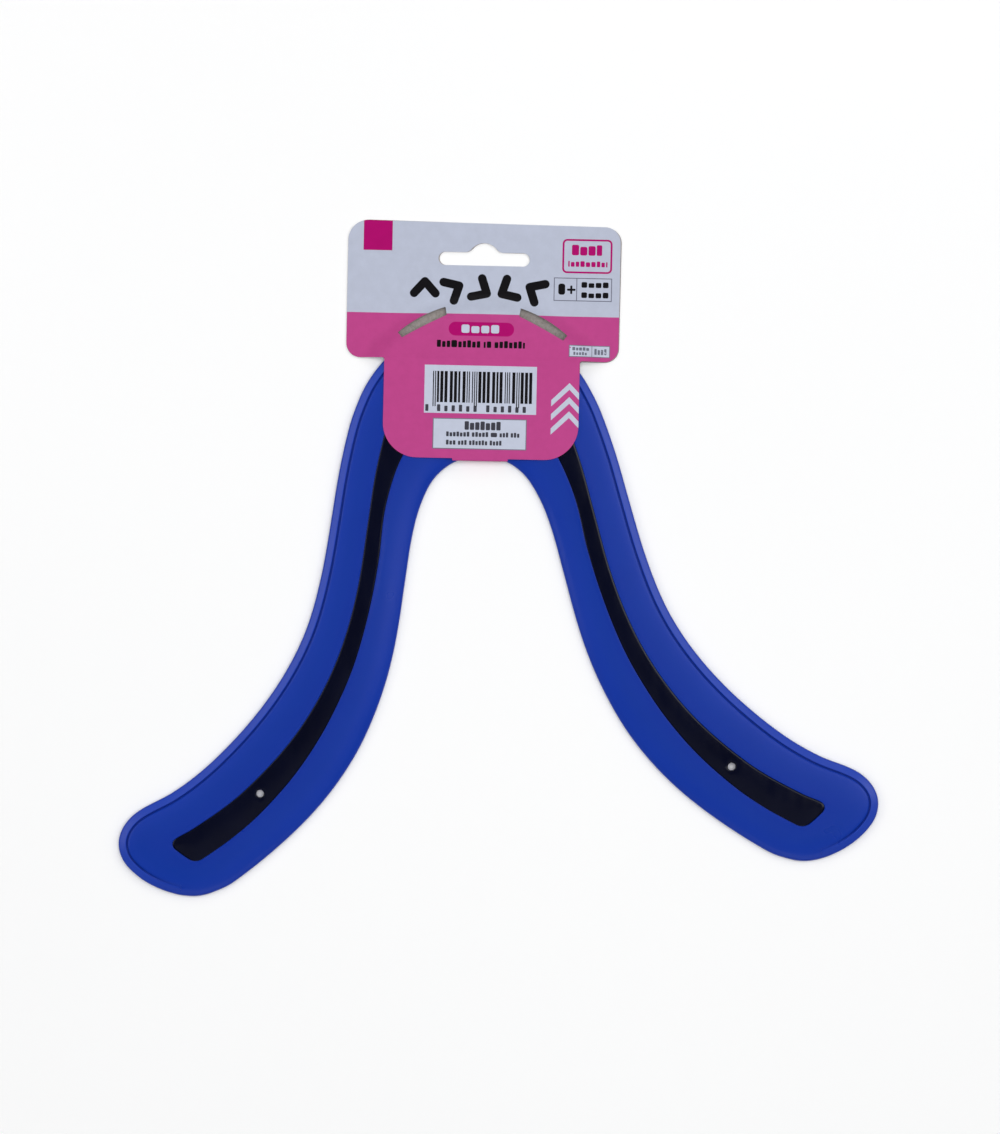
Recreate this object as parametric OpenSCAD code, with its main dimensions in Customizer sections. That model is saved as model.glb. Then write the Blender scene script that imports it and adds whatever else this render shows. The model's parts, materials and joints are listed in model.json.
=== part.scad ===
// V-shaped throwing boomerang, hung in a folded header card.
// The boomerang lies flat with its elbow towards +Y. The card's rear ply is on the ground plane,
// the boomerang lies on it, and the front ply covers the elbow. The card swings round the crook.

/* [Boomerang] */
// Full span, tip to tip
span_w = 266.6; // [240:0.2:300]
// Radius of the crook, the inside of the elbow
crook_r = 20.9; // [20:0.1:22]
// Radius of the elbow's outer edge
elbow_r = 44.6; // [43:0.1:46]
// How far the outer edge's centre lies in front of the crook's centre
elbow_up = 23.9; // [23:0.1:25]
// Thickness at the flat middle of the arms
blade_t = 3.6; // [3:0.1:5]
// Height of the outer edge's side wall
outer_edge_t = 1.8; // [1:0.1:2.4]
// Height of the inner edge's side wall
inner_edge_t = 1.2; // [0.8:0.1:2]
// Width of the bevelled rim along the outer edge
rim_w = 2.6; // [2:0.1:3.5]
// Width of the groove inside the rim
groove_w = 0.8; // [0.3:0.05:1]
// Depth of the groove inside the rim
groove_depth = 0.5; // [0.2:0.05:0.8]

/* [Core strip] */
// Thickness of the hard strip set in the blade
core_t = 2.2; // [1.2:0.1:2.6]
// Diameter of the two holes that hold the strip in the mould
pin_hole_d = 2.7; // [2:0.1:3.5]
// Distance of each hole from the middle of the boomerang
pin_hole_x = 82.7; // [80:0.1:85]
// Distance of the holes behind the crook's centre
pin_hole_back = 92.75; // [91:0.05:94]

/* [Card] */
// Thickness of the board
ply = 0.4; // [0.3:0.05:0.8]
// Width of the header
header_w = 95.5; // [80:0.5:110]
// Distance from the crook's centre to the top of the card
card_top = 102.5; // [98:0.5:106]
// Distance from the crook's centre to the header's lower edge
header_low = 54.7; // [52:0.1:56]
// How far out of square the top edge is cut, in degrees
header_skew = 0.6; // [0:0.1:3]
// Width of the flap
flap_w = 68.4; // [60:0.2:74]
// Distance from the crook's centre to the flap's lower edge
flap_low = 19.9; // [19.5:0.1:20.5]
// Width of the narrow fold in the crook
fold_w = 19.4; // [12:0.2:22]
// Distance from the crook's centre to the fold
fold_low = 19.1; // [18.8:0.1:19.4]
// Radius of the header's top left corner
header_left_r = 7; // [2:0.5:10]
// Radius of the header's top right corner
header_right_r = 5.5; // [2:0.5:10]
// Radius of the header's lower corners
header_low_r = 5; // [2:0.5:6.5]
// Radius of the flap's corners
flap_r = 12; // [5:0.5:14]
// How far the card's middle lies to one side of the elbow's middle
card_shift = -0.7; // [-1.5:0.1:1.5]
// How far the card hangs askew at rest, in degrees
card_tilt = 4.5; // [-6:0.5:6]
// Distance from the crook's centre to the hang slot
slot_up = 90; // [86:0.05:92]
// Length of the hang slot
slot_w = 32; // [28:0.5:34]
// Height of the hang slot
slot_h = 4.7; // [4.5:0.05:6]
// Radius of the hump in the middle of the hang slot
slot_hump_r = 5.6; // [5:0.1:6]
// Radius that blends the hump into the slot
slot_fillet_r = 3; // [1:0.5:4]
// Rise of the arch in the upper side of the relief windows over the elbow's edge
window_arch = 1; // [0:0.1:2]
// Rise of the arch in the lower side of the relief windows
window_low_arch = 0.2; // [0:0.1:1]
// Thickness of the double-sided tape in the header
tape_t = 0.1; // [0.1:0.05:0.3]

/* [Fits] */
// Gap between the card and the blade
card_gap = 0.25; // [0.2:0.05:0.5]
// Gap between the fold and the crook
fold_gap = 0.2; // [0.15:0.05:0.4]

/* [Hidden] */

half_span = span_w / 2;
over = 1;

// Height levels, from the ground plane up
blade_z = ply + card_gap;
core_z = blade_z + blade_t - core_t;
shelf_z = blade_z + blade_t + card_gap;
header_z = ply + tape_t;

// Finest turn and longest step of one facet on a curved edge
facet_turn = 5.5;
facet_run = 7;

// Knots [x, y, heading] of the right half's edge, measured from the crook's centre:
// the outer edge from the elbow to the tip, round the tip, then the inner edge back to the crook
crook_turn = 60.5;
elbow_turn = 63.5;
edge_knots = [
    [0, elbow_up + elbow_r, 0],
    [elbow_r * sin(elbow_turn), elbow_up + elbow_r * cos(elbow_turn), -elbow_turn],
    [44.3, 33.4, -72],
    [48.7, 18, -76],
    [52.2, 2.4, -77.5],
    [56.8, -17.1, -74.5],
    [64.9, -39.6, -63.5],
    [78, -59.7, -51],
    [97.6, -79.6, -40.5],
    [114, -91, -28.5],
    [121.3, -94.3, -24],
    [128.2, -98.3, -40.5],
    [half_span, -108.1, -90],
    [130.5, -115.8, -129],
    [121.2, -123.4, -152],
    [107, -127.4, -180],
    [97.8, -125.2, -199.5],
    [90.9, -121.4, -213.5],
    [74.8, -109.6, -219],
    [57.5, -93, -229.5],
    [44, -73.2, -242.5],
    [34.8, -51.1, -252.5],
    [29.1, -27.8, -259],
    [26.7, -16, -259],
    [22.9, -0.5, -252.5],
    [crook_r * sin(crook_turn), crook_r * cos(crook_turn), -180 - crook_turn],
    [0, crook_r, -180]
];
// The rim runs full width to this knot, and has faded out at the next one named
rim_full_knot = 13;
rim_gone_knot = 15;

// Knots [x, y, heading] of the right half of the core strip's edge, one for each knot of the
// blade's edge: along its outer side, round its slanted end and back along its inner side
core_knots = [
    [0, 55.9, 0],
    [28.6, 38.2, -63.5],
    [32.3, 29.5, -73],
    [36.4, 14.9, -76.5],
    [39.6, -0.4, -78],
    [43.9, -20.7, -76],
    [52.4, -45.9, -66],
    [66.2, -69.2, -53],
    [87.7, -91.1, -40],
    [107, -103.8, -30],
    [112.9, -106.7, -30],
    [114.3, -108.5, -86],
    [113.4, -110.6, -140],
    [109.2, -114, -145],
    [106.7, -115, -177],
    [104.1, -114.4, -211],
    [99.4, -111.6, -212.5],
    [94.6, -108.6, -214.5],
    [83, -99.7, -222],
    [67.3, -83.4, -231.5],
    [56.1, -67.1, -240],
    [46.3, -47.2, -249],
    [39.4, -25.7, -255],
    [36.6, -14, -257.5],
    [33.6, 2.8, -256.5],
    [29.3, 16, -248],
    [0, 38.9, -180]
];

// Profiles [distance in from the edge, height], from the underside up to the blade's crown
outer_profile = [
    [0, 0],
    [0, outer_edge_t],
    [0.6, outer_edge_t + 0.5],
    [rim_w, blade_t - 0.55],
    [rim_w + groove_w / 2, blade_t - 0.5 - groove_depth],
    [rim_w + groove_w, blade_t - 0.45],
    [5.6, blade_t - 0.35],
    [9.5, blade_t - 0.15]
];
inner_profile = [
    [0, 0],
    [0, inner_edge_t],
    [0.6, inner_edge_t + 0.6],
    [2, blade_t - 1.2],
    [2.8, blade_t - 0.95],
    [3.8, blade_t - 0.7],
    [6, blade_t - 0.4],
    [9.5, blade_t - 0.15]
];

function flat(lists) = [for (list = lists) each list];
function unit(v) = v / norm(v);
function turned(v, a) = [v[0] * cos(a) - v[1] * sin(a), v[0] * sin(a) + v[1] * cos(a)];
function mirrored(p) = [-p[0], p[1]];

// Points of the arc-like curve from knot a up to, but without, knot b
function span_steps(a, b) =
    let(run = norm([b[0] - a[0], b[1] - a[1]]))
    max(2, ceil(abs(b[2] - a[2]) / facet_turn), ceil(run / facet_run));
function span_points(a, b, steps) =
    let(
        p0 = [a[0], a[1]],
        p3 = [b[0], b[1]],
        reach = norm(p3 - p0) * (2 / 3) / (1 + cos((b[2] - a[2]) / 2)),
        p1 = p0 + reach * [cos(a[2]), sin(a[2])],
        p2 = p3 - reach * [cos(b[2]), sin(b[2])]
    )
    [for (i = [0:steps - 1]) let(t = i / steps, u = 1 - t)
        u * u * u * p0 + 3 * u * u * t * p1 + 3 * u * t * t * p2 + t * t * t * p3];
// Both edges take their steps from the blade's edge, so that their points go in pairs
knot_steps = [for (k = [0:len(edge_knots) - 2]) span_steps(edge_knots[k], edge_knots[k + 1])];
function half_points(knots) =
    [for (k = [0:len(knots) - 2]) each span_points(knots[k], knots[k + 1], knot_steps[k])];
function whole_points(half, last) =
    concat(half, [last], [for (i = [len(half) - 1:-1:1]) mirrored(half[i])]);

// A polygon's corners [x, y, radius] with each corner rounded
function corner_points(a, b, c) =
    b[2] == 0 ? [[b[0], b[1]]] :
    let(
        at = [b[0], b[1]],
        u = unit([a[0], a[1]] - at),
        v = unit([c[0], c[1]] - at),
        half = acos(u * v) / 2,
        centre = at + unit(u + v) * b[2] / sin(half),
        start = at + u * b[2] / tan(half) - centre,
        way = cross(u, v) > 0 ? -1 : 1,
        steps = max(2, ceil((180 - 2 * half) / 10))
    )
    [for (i = [0:steps]) centre + turned(start, way * (180 - 2 * half) * i / steps)];
function rounded(corners) =
    let(n = len(corners))
    [for (i = [0:n - 1]) each corner_points(corners[(i + n - 1) % n], corners[i], corners[(i + 1) % n])];

// The boomerang's edge, clockwise from the elbow, and how much of the rim each point has
edge = whole_points(half_points(edge_knots), [0, crook_r]);
function rim_at(knot) =
    min(1, max(0, (rim_gone_knot - knot) / (rim_gone_knot - rim_full_knot)));
half_rim = [for (k = [0:len(knot_steps) - 1])
    for (i = [0:knot_steps[k] - 1]) rim_at(k + i / knot_steps[k])];
rim = concat(half_rim, [0], [for (i = [len(half_rim) - 1:-1:1]) half_rim[i]]);

function inward(i) =
    let(n = len(edge), along = unit(edge[(i + 1) % n] - edge[(i + n - 1) % n]))
    [along[1], -along[0]];
function blade_ring(k) =
    [for (i = [0:len(edge) - 1])
        let(
            at = inner_profile[k] + rim[i] * (outer_profile[k] - inner_profile[k]),
            p = edge[i] + at[0] * inward(i)
        )
        [p[0], p[1], at[1]]];

core_edge = whole_points(half_points(core_knots), [0, core_knots[len(core_knots) - 1][1]]);

// The card's outline about the crook's centre, before it is tilted
skew_rise = header_w / 2 * tan(header_skew);
card_corners = [
    [-header_w / 2, card_top + skew_rise, header_left_r],
    [header_w / 2, card_top - skew_rise, header_right_r],
    [header_w / 2, header_low, header_low_r],
    [flap_w / 2, header_low, 0.8],
    [flap_w / 2, flap_low, flap_r],
    [fold_w / 2, flap_low, 0],
    [fold_w / 2, fold_low, 0.3],
    [-fold_w / 2, fold_low, 0.3],
    [-fold_w / 2, flap_low, 0],
    [-flap_w / 2, flap_low, flap_r],
    [-flap_w / 2, header_low, 0.8],
    [-header_w / 2, header_low, header_low_r]
];
card_outline = rounded(card_corners);

// The fold is as long as the straight run that clears the crook
fold_reach_r = crook_r - fold_gap;
fold_half = sqrt(fold_reach_r * fold_reach_r - (fold_low + ply) * (fold_low + ply));

// The corners of the right relief window, and a side of it from p to q that arches up by rise
window_corners = [[13.2, 72.9], [29.7, 63.6], [28.2, 61.8], [12.7, 70]];
window_steps = 8;
function arched(p, q, rise) =
    let(up = unit([abs(q[1] - p[1]), abs(q[0] - p[0])]))
    [for (i = [0:window_steps])
        let(t = i / window_steps)
        p + t * (q - p) + 4 * rise * t * (1 - t) * up];
window_outline = concat(
    arched(window_corners[0], window_corners[1], window_arch),
    arched(window_corners[2], window_corners[3], window_low_arch)
);

// Where the front ply comes down from the shelf over the elbow to the header
shelf_r = elbow_r + 1.2;
ramp_w = 8.5;

// The row's origin is under the middle of the whole object's box
function card_to_row(p) = turned(p + [card_shift, 0], -card_tilt);
far_y = max([for (p = card_outline) card_to_row(p)[1]]);
near_y = min([for (p = edge) p[1]]);
crook_y = -(far_y + near_y) / 2;

// Everything below is drawn about the crook's centre and put in place by these two
module in_blade() { translate([0, crook_y, 0]) children(); }
module in_card() {
    translate([0, crook_y, 0])
        rotate([0, 0, -card_tilt])
            translate([card_shift, 0, 0])
                children();
}

module pin_holes() {
    for (side = [-1, 1])
        translate([side * pin_hole_x, -pin_hole_back, -over])
            cylinder(d = pin_hole_d, h = blade_t + 2 * over, $fn = 48);
}

// Triangles that fill a closed ring of n points, which starts at index first: each point of one
// edge of an arm is joined across the arm to its partner on the other edge, facing up or down
function across(n, first, up) =
    let(half = n / 2)
    [for (i = [0:half / 2]) for (side = [0, 1])
        let(
            a = first + (side == 0 ? i : (n - i) % n),
            b = first + (side == 0 ? i + 1 : n - i - 1),
            c = first + (side == 0 ? half - i - 1 : half + i + 1),
            d = first + (side == 0 ? half - i : half + i),
            clockwise = (side == 0) == up
        )
        each [
            if (i + 1 < half - i) clockwise ? [a, b, d] : [d, b, a],
            if (i + 1 < half - i - 1) clockwise ? [b, c, d] : [d, c, b]
        ]];

// The moulded blade with its recess: rings that follow the edge, from the underside over the rim
// to the flat middle, then in to the recess and down to its floor
module blade_solid() {
    n = len(edge);
    floor_z = blade_t - core_t;
    points = concat(
        flat([for (k = [0:len(outer_profile) - 1]) blade_ring(k)]),
        [for (p = core_edge) [p[0], p[1], blade_t]],
        [for (p = core_edge) [p[0], p[1], floor_z]]
    );
    rings = len(points) / n;
    sides = [for (k = [0:rings - 2]) for (i = [0:n - 1])
        let(j = (i + 1) % n, a = k * n)
        each [[a + i, a + j, a + n + i], [a + j, a + n + j, a + n + i]]];
    under = across(n, 0, false);
    recess_floor = across(n, (rings - 1) * n, true);
    polyhedron(points, concat(sides, under, recess_floor), convexity = 6);
}

module blade() {
    color("#2140b0")
        in_blade()
            translate([0, 0, blade_z])
                difference() {
                    blade_solid();
                    pin_holes();
                }
}

module core_strip() {
    color("#0b0d22")
        in_blade()
            translate([0, 0, core_z])
                difference() {
                    linear_extrude(core_t) polygon(core_edge);
                    pin_holes();
                }
}

module hang_slot() {
    half = slot_h / 2;
    end_x = slot_w / 2 - half;
    blend_r = slot_hump_r + slot_fillet_r;
    fillet_y = half + slot_fillet_r;
    fillet_x = sqrt(blend_r * blend_r - fillet_y * fillet_y);
    blend_y = fillet_y * slot_hump_r / blend_r;
    depth = shelf_z + 2 * over;
    translate([0, slot_up, -over]) {
        translate([-end_x, -half, 0]) cube([2 * end_x, slot_h, depth]);
        for (side = [-1, 1])
            translate([side * end_x, 0, 0]) cylinder(r = half, h = depth, $fn = 48);
        cylinder(r = slot_hump_r, h = depth, $fn = 64);
        difference() {
            translate([-fillet_x, 0, 0]) cube([2 * fillet_x, blend_y, depth]);
            for (side = [-1, 1])
                translate([side * fillet_x, fillet_y, -over])
                    cylinder(r = slot_fillet_r, h = depth + 2 * over, $fn = 48);
        }
    }
}

module windows() {
    for (side = [0, 1])
        mirror([side, 0, 0])
            translate([0, 0, -over])
                linear_extrude(shelf_z + 3 * over)
                    polygon(window_outline);
}

// A sheet of board that is raised over the elbow and comes down round it
module raised_sheet() {
    reach = header_w;
    translate([-card_shift, elbow_up, 0])
        rotate_extrude($fn = 128)
            polygon([
                [0, shelf_z],
                [shelf_r, shelf_z],
                [shelf_r + ramp_w, header_z],
                [reach, header_z],
                [reach, header_z + ply],
                [shelf_r + ramp_w, header_z + ply],
                [shelf_r, shelf_z + ply],
                [0, shelf_z + ply]
            ]);
}

module card_front() {
    color("#bac0d2")
        in_card()
            difference() {
                intersection() {
                    linear_extrude(shelf_z + ply + over) polygon(card_outline);
                    raised_sheet();
                }
                hang_slot();
                windows();
            }
}

module card_back() {
    color("#96908d")
        in_card()
            difference() {
                linear_extrude(ply) polygon(card_outline);
                hang_slot();
            }
}

// The narrow strip that joins the two plies through the crook
module card_fold() {
    color("#c04c92")
        in_card()
            translate([-card_shift - fold_half, fold_low, ply])
                cube([2 * fold_half, ply, shelf_z - ply]);
}

module tape(side) {
    tape_w = 22;
    tape_h = 16;
    tape_x = header_w / 2 - 5 - tape_w / 2;
    color("#d8d2c0")
        in_card()
            translate([side * tape_x - tape_w / 2, slot_up - tape_h / 2, ply])
                cube([tape_w, tape_h, tape_t]);
}
module tape_left() { tape(-1); }
module tape_right() { tape(1); }

blade();
core_strip();
card_front();
card_fold();
card_back();
tape_left();
tape_right();
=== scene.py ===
"""A V-shaped toy boomerang in its folded header card, lying on a pale floor and seen from above.

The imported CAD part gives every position. The blade, its polished strip and the printed card are
rebuilt here as fine meshes in the same places, and ride on the CAD bodies.
Lengths in this file are millimetres until a mesh is made, where they become metres."""

import json
import math

import bpy
import numpy as np
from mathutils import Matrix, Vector
from mathutils.geometry import delaunay_2d_cdt


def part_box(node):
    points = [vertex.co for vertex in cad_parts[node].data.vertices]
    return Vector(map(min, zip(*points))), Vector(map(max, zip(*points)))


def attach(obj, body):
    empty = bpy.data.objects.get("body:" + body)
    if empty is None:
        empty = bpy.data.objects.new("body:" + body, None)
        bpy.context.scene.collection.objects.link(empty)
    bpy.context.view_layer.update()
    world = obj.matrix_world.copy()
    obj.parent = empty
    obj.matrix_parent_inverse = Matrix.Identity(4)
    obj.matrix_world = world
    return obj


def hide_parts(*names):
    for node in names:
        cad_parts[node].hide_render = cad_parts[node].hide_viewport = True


MM = 0.001

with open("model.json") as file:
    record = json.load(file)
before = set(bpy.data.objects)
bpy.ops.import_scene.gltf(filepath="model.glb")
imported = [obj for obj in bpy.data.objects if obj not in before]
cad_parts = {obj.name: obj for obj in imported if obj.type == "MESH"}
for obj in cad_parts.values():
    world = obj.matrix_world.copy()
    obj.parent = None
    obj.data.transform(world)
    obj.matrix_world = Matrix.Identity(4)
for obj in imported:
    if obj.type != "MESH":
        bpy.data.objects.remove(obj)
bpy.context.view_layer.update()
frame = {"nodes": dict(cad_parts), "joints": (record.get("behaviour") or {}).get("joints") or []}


# ---------------------------------------------------------------- sizes that the CAD model fixes
def heights(node):
    """Lowest and highest level of a CAD node."""
    low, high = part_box(node)
    return low.z / MM, high.z / MM


CROOK_Y = frame["joints"][0]["pos_m"][1] / MM
BLADE_Z, BLADE_TOP = heights("blade")
CORE_Z, CORE_TOP = heights("core_strip")
CARD_TOP = heights("card_front")[1]
BACK_Z, BACK_TOP = heights("card_back")
PLY = BACK_TOP - BACK_Z
SHELF_Z = CARD_TOP - PLY
HEADER_Z = heights("tape_left")[1]
SPAN = (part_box("blade")[1].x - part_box("blade")[0].x) / MM

CARD_TILT, REAR_TURN = math.radians(4.5), math.radians(0.22)
CARD_SHIFT = -0.7
CROOK_R, ELBOW_R, ELBOW_UP = 20.9, 44.6, 23.9
CROOK_TURN, ELBOW_TURN = math.radians(60.5), math.radians(63.5)
PIN_R, PIN_X, PIN_BACK = 1.35, 82.7, 92.75


# ---------------------------------------------------------------- outlines of the blade and strip
# [x, y, heading in degrees] about the crook's centre: the right half, from the elbow round the tip
# and back to the crook. Each knot of the edge has its own knot on the strip.
EDGE_KNOTS = [
    (0, ELBOW_UP + ELBOW_R, 0),
    (ELBOW_R * math.sin(ELBOW_TURN), ELBOW_UP + ELBOW_R * math.cos(ELBOW_TURN), -63.5),
    (44.3, 33.4, -72), (48.7, 18, -76), (52.2, 2.4, -77.5), (56.8, -17.1, -74.5),
    (64.9, -39.6, -63.5), (78, -59.7, -51), (97.6, -79.6, -40.5), (114, -91, -28.5),
    (121.3, -94.3, -24), (128.2, -98.3, -40.5), (SPAN / 2, -108.1, -90), (130.5, -115.8, -129),
    (121.2, -123.4, -152), (107, -127.4, -180), (97.8, -125.2, -199.5), (90.9, -121.4, -213.5),
    (74.8, -109.6, -219), (57.5, -93, -229.5), (44, -73.2, -242.5), (34.8, -51.1, -252.5),
    (29.1, -27.8, -259), (26.7, -16, -259), (22.9, -0.5, -252.5),
    (CROOK_R * math.sin(CROOK_TURN), CROOK_R * math.cos(CROOK_TURN), -240.5), (0, CROOK_R, -180),
]
CORE_KNOTS = [
    (0, 55.9, 0), (28.6, 38.2, -63.5), (32.3, 29.5, -73), (36.4, 14.9, -76.5), (39.6, -0.4, -78),
    (43.9, -20.7, -76), (52.4, -45.9, -66), (66.2, -69.2, -53), (87.7, -91.1, -40),
    (107, -103.8, -30), (112.9, -106.7, -30), (114.3, -108.5, -86), (113.4, -110.6, -140),
    (109.2, -114, -145), (106.7, -115, -177), (104.1, -114.4, -211), (99.4, -111.6, -212.5),
    (94.6, -108.6, -214.5), (83, -99.7, -222), (67.3, -83.4, -231.5), (56.1, -67.1, -240),
    (46.3, -47.2, -249), (39.4, -25.7, -255), (36.6, -14, -257.5), (33.6, 2.8, -256.5),
    (29.3, 16, -248), (0, 38.9, -180),
]
RIM_FULL_KNOT, RIM_GONE_KNOT = 13, 15
FACET_TURN, FACET_RUN = 2.2, 1.6


def step_counts(knots):
    """How many points each stretch between two knots gets."""
    return [
        max(2, math.ceil(abs(b[2] - a[2]) / FACET_TURN), math.ceil(math.dist(a[:2], b[:2]) / FACET_RUN))
        for a, b in zip(knots, knots[1:])
    ]


STEPS = step_counts(EDGE_KNOTS)


def whole_edge(knots):
    """The closed outline, clockwise from the elbow, from the right half's knots."""
    half = []
    for a, b, steps in zip(knots, knots[1:], STEPS):
        p0, p3 = np.array(a[:2], float), np.array(b[:2], float)
        turn = math.radians(b[2] - a[2])
        reach = np.linalg.norm(p3 - p0) * (2 / 3) / (1 + math.cos(turn / 2))
        way = [np.array([math.cos(math.radians(k[2])), math.sin(math.radians(k[2]))]) for k in (a, b)]
        p1, p2 = p0 + reach * way[0], p3 - reach * way[1]
        t = (np.arange(steps) / steps)[:, None]
        u = 1 - t
        half.append(u**3 * p0 + 3 * u * u * t * p1 + 3 * u * t * t * p2 + t**3 * p3)
    half = np.concatenate(half)
    return np.concatenate([half, [knots[-1][:2]], half[:0:-1] * (-1, 1)])


def inward(loop):
    """The direction into a clockwise outline at each of its points."""
    along = np.roll(loop, -1, axis=0) - np.roll(loop, 1, axis=0)
    along /= np.linalg.norm(along, axis=1, keepdims=True)
    return np.stack([along[:, 1], -along[:, 0]], axis=1)


def rim_weight():
    """How much of the outer edge's rim each point of the outline has."""
    half = np.concatenate([k + np.arange(n) / n for k, n in enumerate(STEPS)])
    t = np.clip((RIM_GONE_KNOT - half) / (RIM_GONE_KNOT - RIM_FULL_KNOT), 0, 1)
    half = t * t * (3 - 2 * t)
    return np.concatenate([half, [0], half[:0:-1]])


EDGE = whole_edge(EDGE_KNOTS)
CORE = whole_edge(CORE_KNOTS)


# ---------------------------------------------------------------- the card's outlines, in its own frame
HEADER_W, CARD_UP, HEADER_LOW, SKEW = 95.5, 102.5, 54.7, math.radians(0.6)
FLAP_W, FLAP_LOW, FOLD_W, FOLD_LOW = 68.4, 19.9, 19.4, 19.1
FOLD_HALF = math.sqrt((CROOK_R - 0.2) ** 2 - (FOLD_LOW + PLY) ** 2)
BEND_Y = 20.3
SLOT_UP, SLOT_W, SLOT_H, HUMP_R, FILLET_R = 90, 32, 4.7, 5.6, 3
INK, INK_UP = 0.045, 70.5
CREASE_UP, CREASE_DEEP, CREASE_HALF = HEADER_LOW, 0.09, 0.35
DOME = np.array([-CARD_SHIFT, ELBOW_UP])
DOME_R, RAMP_W = ELBOW_R + 1.2, 8.5


def arc(centre, r, start, end, steps):
    """Points on a circle between two angles in degrees, both ends included."""
    a = np.radians(np.linspace(start, end, steps + 1))
    return np.array(centre) + r * np.stack([np.cos(a), np.sin(a)], axis=1)


def rounded(corners):
    """A polygon with rounded corners, from [x, y, radius]."""
    found = []
    for i, (x, y, r) in enumerate(corners):
        at = np.array([x, y], float)
        if r == 0:
            found.append(at[None])
            continue
        u = np.array(corners[i - 1][:2], float) - at
        v = np.array(corners[(i + 1) % len(corners)][:2], float) - at
        u, v = u / np.linalg.norm(u), v / np.linalg.norm(v)
        half = math.acos(u @ v) / 2
        centre = at + (u + v) / np.linalg.norm(u + v) * r / math.sin(half)
        a = at + u * r / math.tan(half) - centre
        sweep = math.pi - 2 * half
        way = -1 if u[0] * v[1] - u[1] * v[0] > 0 else 1
        turns = way * sweep * np.linspace(0, 1, max(3, math.ceil(math.degrees(sweep) / 7)) + 1)
        found.append(centre + np.stack([
            a[0] * np.cos(turns) - a[1] * np.sin(turns), a[0] * np.sin(turns) + a[1] * np.cos(turns)
        ], axis=1))
    return np.concatenate(found)


def card_outline():
    rise = HEADER_W / 2 * math.tan(SKEW)
    left, right = -CARD_SHIFT - FOLD_HALF, -CARD_SHIFT + FOLD_HALF
    return rounded([
        (-HEADER_W / 2, CARD_UP + rise, 7), (HEADER_W / 2, CARD_UP - rise, 5.5),
        (HEADER_W / 2, HEADER_LOW, 5), (FLAP_W / 2, HEADER_LOW, 0.8),
        (FLAP_W / 2, FLAP_LOW, 12), (FOLD_W / 2, FLAP_LOW, 0), (FOLD_W / 2, FOLD_LOW, 0.3),
        (right, FOLD_LOW, 0), (right, BEND_Y, 0), (left, BEND_Y, 0), (left, FOLD_LOW, 0),
        (-FOLD_W / 2, FOLD_LOW, 0.3), (-FOLD_W / 2, FLAP_LOW, 0),
        (-FLAP_W / 2, FLAP_LOW, 12), (-FLAP_W / 2, HEADER_LOW, 0.8), (-HEADER_W / 2, HEADER_LOW, 5),
    ])


def hang_slot():
    half = SLOT_H / 2
    end, up = SLOT_W / 2 - half, half + FILLET_R
    out = math.sqrt((HUMP_R + FILLET_R) ** 2 - up * up)
    lean = math.degrees(math.atan2(up, out))
    return np.concatenate([
        arc((end, 0), half, -90, 90, 20), arc((out, up), FILLET_R, -90, lean - 180, 8),
        arc((0, 0), HUMP_R, lean, 180 - lean, 24), arc((-out, up), FILLET_R, -lean, -90, 8),
        arc((-end, 0), half, 90, 270, 20),
    ]) + (0, SLOT_UP)


def window(side):
    """One of the two relief windows over the elbow's edge: both long sides arch upwards."""
    loop, t = [], np.linspace(0, 1, 19)[:, None]
    for p, q, rise in (((13.2, 72.9), (29.7, 63.6), 1), ((28.2, 61.8), (12.7, 70), 0.2)):
        p, q = np.array(p), np.array(q)
        up = np.abs(q - p)[::-1] / np.linalg.norm(q - p)
        loop.append(p + t * (q - p) + 4 * rise * t * (1 - t) * up)
    return np.concatenate(loop) * (side, 1)


CARD = card_outline()
SLOT = hang_slot()
WINDOWS = [window(-1), window(1)]


def drape(p):
    """Height of the front ply's underside over the rear ply: up on the elbow, then down a ramp round it."""
    t = np.clip((np.linalg.norm(p - DOME, axis=1) - DOME_R) / RAMP_W, 0, 1)
    down = 0.3 * t + 0.7 * t * t * (3 - 2 * t)
    crease = CREASE_DEEP * np.exp(-(((p[:, 1] - CREASE_UP) / CREASE_HALF) ** 2)) * (1 - t)
    return SHELF_Z - (SHELF_Z - HEADER_Z) * down - crease


def ramp_points():
    """Points that let a draped sheet follow the ramp and the crease."""
    ring_gap, point_gap, rings = 0.5, 1.6, []
    for r in np.arange(DOME_R - ring_gap, DOME_R + RAMP_W + 0.9, ring_gap):
        n = int(2 * math.pi * r / point_gap)
        a = (np.arange(n) + 0.5 * (round(r * 2) % 2)) * 2 * math.pi / n
        rings.append(DOME + r * np.stack([np.cos(a), np.sin(a)], axis=1))
    across = np.arange(-FLAP_W / 2 + 0.6, FLAP_W / 2, 1.5)
    away = (-0.8, -CREASE_HALF, 0, CREASE_HALF, 0.8)
    rows = [np.stack([across, np.full(len(across), CREASE_UP + d)], axis=1) for d in away]
    return np.concatenate(rings + rows)


RAMP = ramp_points()


# ---------------------------------------------------------------- meshes
def in_blade(p):
    """Points [x, y, z] about the crook's centre, in the shared frame."""
    return p + (0, CROOK_Y, 0)


def in_card(p, tilt=CARD_TILT):
    """Points [x, y, z] of the card's own frame, in the shared frame."""
    x, y = p[:, 0] + CARD_SHIFT, p[:, 1]
    c, s = math.cos(tilt), math.sin(tilt)
    return np.stack([x * c + y * s, y * c - x * s + CROOK_Y, p[:, 2]], axis=1)


def inside(loop, p):
    """Whether each point lies inside a closed outline."""
    a, b = loop, np.roll(loop, -1, axis=0)
    x, y = p[:, :1], p[:, 1:]
    crosses = (a[:, 1] > y) != (b[:, 1] > y)
    rise = np.where(b[:, 1] == a[:, 1], 1, b[:, 1] - a[:, 1])
    at = a[:, 0] + (y - a[:, 1]) * (b[:, 0] - a[:, 0]) / rise
    return (crosses & (x < at)).sum(axis=1) % 2 == 1


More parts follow.
